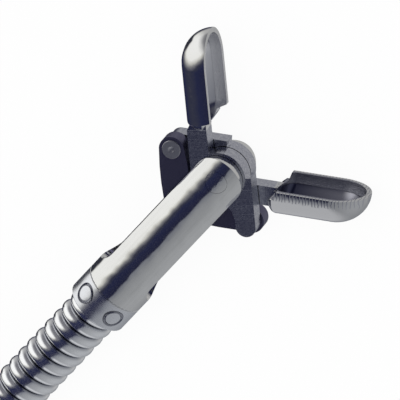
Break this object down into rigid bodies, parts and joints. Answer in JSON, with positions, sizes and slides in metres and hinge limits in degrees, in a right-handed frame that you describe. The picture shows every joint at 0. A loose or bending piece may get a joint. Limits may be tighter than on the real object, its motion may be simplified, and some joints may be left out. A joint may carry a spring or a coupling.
{
  "type": "biopsy forceps",
  "caption": "Distal end of flexible biopsy forceps: two oval-cup jaws on a slotted clevis, opened by links from a pull wire in a coil sheath.",
  "frame": {"origin": "centre of the end ferrule's rear face, on the shaft axis", "axes": "+X along the shaft towards the jaws, +Y towards the left jaw, +Z along the pivot pin"},
  "size_m": [0.0233, 0.0094, 0.0024],
  "materials": {
    "polished_steel": "electropolished stainless steel",
    "ground_steel": "stainless steel: polished cups, ground plates",
    "dark_steel": "dark satin steel",
    "wire_steel": "drawn stainless wire"
  },
  "bodies": {
    "sheath": {"clevis": "polished_steel", "pivot_pin": "polished_steel", "coil_sheath": "polished_steel", "end_ferrule": "polished_steel"},
    "left_jaw": {"jaw_left": "ground_steel", "rivet_left": "ground_steel"},
    "right_jaw": {"jaw_right": "ground_steel", "rivet_right": "ground_steel"},
    "pull_wire": {"wire_connector": "wire_steel", "drive_pin": "wire_steel", "pull_wire": "wire_steel", "wire_end_sleeve": "wire_steel"},
    "left_link": {"link_left": "dark_steel"},
    "right_link": {"link_right": "dark_steel"}
  },
  "joints": [
    {"name": "wire_slide", "type": "slide", "parent": "sheath", "child": "pull_wire", "axis": [1, 0, 0], "range_m": [-0.00211, 0]},
    {"name": "left_jaw_pivot", "type": "hinge", "parent": "sheath", "child": "left_jaw", "pos_m": [0.0162, 0, 0], "axis": [0, 0, 1], "range_deg": [-45.52, 0]},
    {"name": "right_jaw_pivot", "type": "hinge", "parent": "sheath", "child": "right_jaw", "pos_m": [0.0162, 0, 0], "axis": [0, 0, 1], "range_deg": [0, 53.02]},
    {"name": "left_link_rivet", "type": "hinge", "parent": "left_jaw", "child": "left_link", "pos_m": [0.01541, -0.00201, 0], "axis": [0, 0, 1], "range_deg": [0, 78.18]},
    {"name": "right_link_rivet", "type": "hinge", "parent": "right_jaw", "child": "right_link", "pos_m": [0.01567, 0.00209, 0], "axis": [0, 0, 1], "range_deg": [-82.24, 0]}
  ],
  "couplings": [
    {"joint": "left_jaw_pivot", "follows": "wire_slide", "rad_per_m": 375.83},
    {"joint": "right_jaw_pivot", "follows": "wire_slide", "rad_per_m": -437.78},
    {"joint": "left_link_rivet", "follows": "wire_slide", "rad_per_m": -645.6},
    {"joint": "right_link_rivet", "follows": "wire_slide", "rad_per_m": 679.13}
  ]
}
